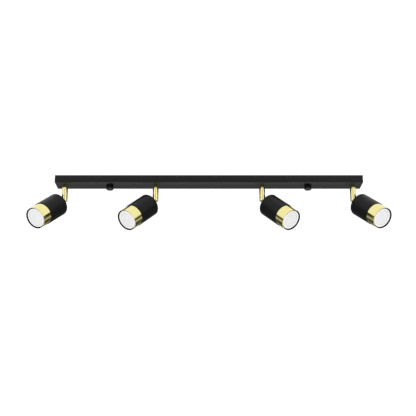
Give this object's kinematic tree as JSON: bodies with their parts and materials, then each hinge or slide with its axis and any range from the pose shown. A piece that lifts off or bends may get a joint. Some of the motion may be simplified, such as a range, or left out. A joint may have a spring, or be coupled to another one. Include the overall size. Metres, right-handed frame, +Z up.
{
  "type": "track lighting fixture",
  "caption": "Ceiling bar with turning, tilting cylindrical spot heads; black with gold stems and trim rings and flat-faced bayonet lamps.",
  "frame": {"origin": "middle of the ceiling strip's top face, on the ceiling plane", "axes": "+X along the bar, -Y towards the room's viewer (the side that the heads point to), +Z up into the ceiling"},
  "size_m": [0.9164, 0.1261, 0.157],
  "materials": {
    "bar_channel": "fine matt black powder coat",
    "ceiling_strip": "zinc-plated steel",
    "fixing_stud": "zinc-plated steel",
    "knob_nut": "satin black, fine knurl round the side",
    "terminal_block": "natural moulded plastic",
    "earth_stud": "plain brass",
    "lamp_lead": "white heat-resistant sleeve",
    "stem": "polished gold plate",
    "stem_nut": "zinc-plated steel",
    "hinge_pin": "polished gold plate",
    "lead_sleeve": "black woven sleeve",
    "tilt_knuckle": "satin black",
    "head_housing": "fine satin black powder coat",
    "trim_ring": "polished gold plate",
    "holder_bracket": "zinc-plated steel",
    "lamp_holder": "unglazed cream ceramic",
    "lamp_body": "smooth white",
    "lamp_lens": "frosted opal",
    "lamp_base": "white, with nickel pins"
  },
  "bodies": {
    "rail": {"bar_channel": "bar_channel", "ceiling_strip": "ceiling_strip", "fixing_stud_1": "fixing_stud", "fixing_stud_2": "fixing_stud", "terminal_block": "terminal_block", "earth_stud": "earth_stud", "lamp_lead_1": "lamp_lead", "lamp_lead_2": "lamp_lead", "lamp_lead_3": "lamp_lead", "lamp_lead_4": "lamp_lead"},
    "knob_1": {"knob_nut_1": "knob_nut"},
    "knob_2": {"knob_nut_2": "knob_nut"},
    "arm_1": {"stem_1": "stem", "stem_nut_1": "stem_nut", "hinge_pin_1": "hinge_pin", "lead_sleeve_1": "lead_sleeve"},
    "head_1": {"tilt_knuckle_1": "tilt_knuckle", "head_housing_1": "head_housing", "trim_ring_1": "trim_ring", "holder_bracket_1": "holder_bracket", "lamp_holder_1": "lamp_holder"},
    "lamp_1": {"lamp_body_1": "lamp_body", "lamp_lens_1": "lamp_lens", "lamp_base_1": "lamp_base"},
    "arm_2": {"stem_2": "stem", "stem_nut_2": "stem_nut", "hinge_pin_2": "hinge_pin", "lead_sleeve_2": "lead_sleeve"},
    "head_2": {"tilt_knuckle_2": "tilt_knuckle", "head_housing_2": "head_housing", "trim_ring_2": "trim_ring", "holder_bracket_2": "holder_bracket", "lamp_holder_2": "lamp_holder"},
    "lamp_2": {"lamp_body_2": "lamp_body", "lamp_lens_2": "lamp_lens", "lamp_base_2": "lamp_base"},
    "arm_3": {"stem_3": "stem", "stem_nut_3": "stem_nut", "hinge_pin_3": "hinge_pin", "lead_sleeve_3": "lead_sleeve"},
    "head_3": {"tilt_knuckle_3": "tilt_knuckle", "head_housing_3": "head_housing", "trim_ring_3": "trim_ring", "holder_bracket_3": "holder_bracket", "lamp_holder_3": "lamp_holder"},
    "lamp_3": {"lamp_body_3": "lamp_body", "lamp_lens_3": "lamp_lens", "lamp_base_3": "lamp_base"},
    "arm_4": {"stem_4": "stem", "stem_nut_4": "stem_nut", "hinge_pin_4": "hinge_pin", "lead_sleeve_4": "lead_sleeve"},
    "head_4": {"tilt_knuckle_4": "tilt_knuckle", "head_housing_4": "head_housing", "trim_ring_4": "trim_ring", "holder_bracket_4": "holder_bracket", "lamp_holder_4": "lamp_holder"},
    "lamp_4": {"lamp_body_4": "lamp_body", "lamp_lens_4": "lamp_lens", "lamp_base_4": "lamp_base"}
  },
  "joints": [
    {"name": "knob_turn_1", "type": "hinge", "parent": "rail", "child": "knob_1", "pos_m": [-0.259, 0, -0.025], "axis": [0, 0, 1], "continuous": true},
    {"name": "knob_turn_2", "type": "hinge", "parent": "rail", "child": "knob_2", "pos_m": [0.259, 0, -0.025], "axis": [0, 0, 1], "continuous": true},
    {"name": "pan_1", "type": "hinge", "parent": "rail", "child": "arm_1", "pos_m": [-0.3762, 0, -0.02], "axis": [0, 0, 1], "range_deg": [-175, 175]},
    {"name": "tilt_1", "type": "hinge", "parent": "arm_1", "child": "head_1", "pos_m": [-0.3762, 0, -0.05486], "axis": [-0.8075, 0.5899, 0], "range_deg": [-53.47, 36.53], "deforming": ["lead_sleeve_1"]},
    {"name": "lamp_twist_1", "type": "hinge", "parent": "head_1", "child": "lamp_1", "pos_m": [-0.40733, -0.04261, -0.10005], "axis": [-0.474, -0.6488, -0.5952], "range_deg": [0, 15]},
    {"name": "pan_2", "type": "hinge", "parent": "rail", "child": "arm_2", "pos_m": [-0.1392, 0, -0.02], "axis": [0, 0, 1], "range_deg": [-175, 175]},
    {"name": "tilt_2", "type": "hinge", "parent": "arm_2", "child": "head_2", "pos_m": [-0.1392, 0, -0.05486], "axis": [-0.7074, 0.7069, 0], "range_deg": [-52.29, 37.71], "deforming": ["lead_sleeve_2"]},
    {"name": "lamp_twist_2", "type": "hinge", "parent": "head_2", "child": "lamp_2", "pos_m": [-0.17583, -0.03666, -0.10113], "axis": [-0.5592, -0.5596, -0.6117], "range_deg": [0, 15]},
    {"name": "pan_3", "type": "hinge", "parent": "rail", "child": "arm_3", "pos_m": [0.1392, 0, -0.02], "axis": [0, 0, 1], "range_deg": [-175, 175]},
    {"name": "tilt_3", "type": "hinge", "parent": "arm_3", "child": "head_3", "pos_m": [0.1392, 0, -0.05486], "axis": [-0.7074, -0.7069, 0], "range_deg": [-52.29, 37.71], "deforming": ["lead_sleeve_3"]},
    {"name": "lamp_twist_3", "type": "hinge", "parent": "head_3", "child": "lamp_3", "pos_m": [0.17583, -0.03666, -0.10113], "axis": [0.5592, -0.5596, -0.6117], "range_deg": [0, 15]},
    {"name": "pan_4", "type": "hinge", "parent": "rail", "child": "arm_4", "pos_m": [0.3762, 0, -0.02], "axis": [0, 0, 1], "range_deg": [-175, 175]},
    {"name": "tilt_4", "type": "hinge", "parent": "arm_4", "child": "head_4", "pos_m": [0.3762, 0, -0.05486], "axis": [-0.8075, -0.5899, 0], "range_deg": [-53.47, 36.53], "deforming": ["lead_sleeve_4"]},
    {"name": "lamp_twist_4", "type": "hinge", "parent": "head_4", "child": "lamp_4", "pos_m": [0.40733, -0.04261, -0.10005], "axis": [0.474, -0.6488, -0.5952], "range_deg": [0, 15]}
  ]
}
